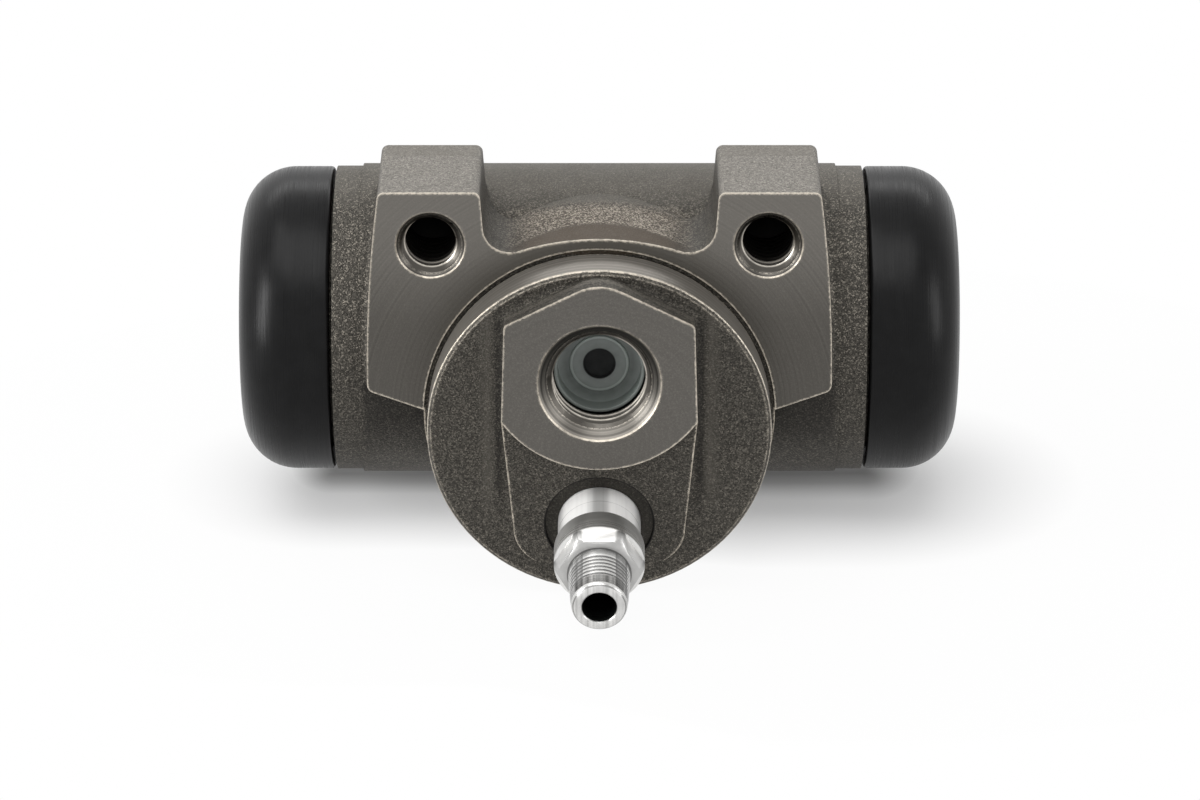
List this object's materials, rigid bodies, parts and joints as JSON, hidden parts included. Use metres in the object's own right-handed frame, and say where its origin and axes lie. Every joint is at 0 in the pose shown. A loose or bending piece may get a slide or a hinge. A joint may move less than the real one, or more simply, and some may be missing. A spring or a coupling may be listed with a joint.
{
  "type": "brake wheel cylinder",
  "caption": "Drum brake wheel cylinder: cast housing with mounting lugs and spigot, opposed pistons under rubber dust boots, bleed screw and plugged pipe port.",
  "frame": {"origin": "centre of the spigot, on the plane of the mounting face", "axes": "+X along the bore, -Y out of the mounting face towards the pipe port, +Z from the spigot to the two lugs"},
  "size_m": [0.0706, 0.0526, 0.0398],
  "materials": {
    "cast_iron": "as cast with machined faces",
    "piston_alloy": "turned",
    "seal_rubber": "moulded, satin",
    "spring_steel": "drawn and pressed steel",
    "boot_rubber": "moulded, satin",
    "plated_steel": "turned and bright plated",
    "plug_plastic": "moulded, satin"
  },
  "bodies": {
    "cylinder": {"housing": "cast_iron", "port_plug": "plug_plastic", "dust_boot_left": "boot_rubber", "dust_boot_right": "boot_rubber", "return_spring": "spring_steel"},
    "piston_right": {"piston_right": "piston_alloy", "cup_seal_right": "seal_rubber", "cup_expander_right": "spring_steel"},
    "piston_left": {"piston_left": "piston_alloy", "cup_seal_left": "seal_rubber", "cup_expander_left": "spring_steel"},
    "bleed_screw": {"bleed_screw": "plated_steel"}
  },
  "joints": [
    {"name": "piston_right_slide", "type": "slide", "parent": "cylinder", "child": "piston_right", "axis": [1, 0, 0], "range_m": [-0.0025, 0.006], "stiffness_N_per_m": 600, "deforming": ["dust_boot_right", "return_spring"]},
    {"name": "piston_left_slide", "type": "slide", "parent": "cylinder", "child": "piston_left", "axis": [-1, 0, 0], "range_m": [-0.0025, 0.006], "stiffness_N_per_m": 600, "deforming": ["dust_boot_left", "return_spring"]},
    {"name": "bleed_screw_turn", "type": "hinge", "parent": "cylinder", "child": "bleed_screw", "pos_m": [0, -0.00546, -0.00926], "axis": [0, -0.9863, -0.165], "range_deg": [0, 180]}
  ]
}
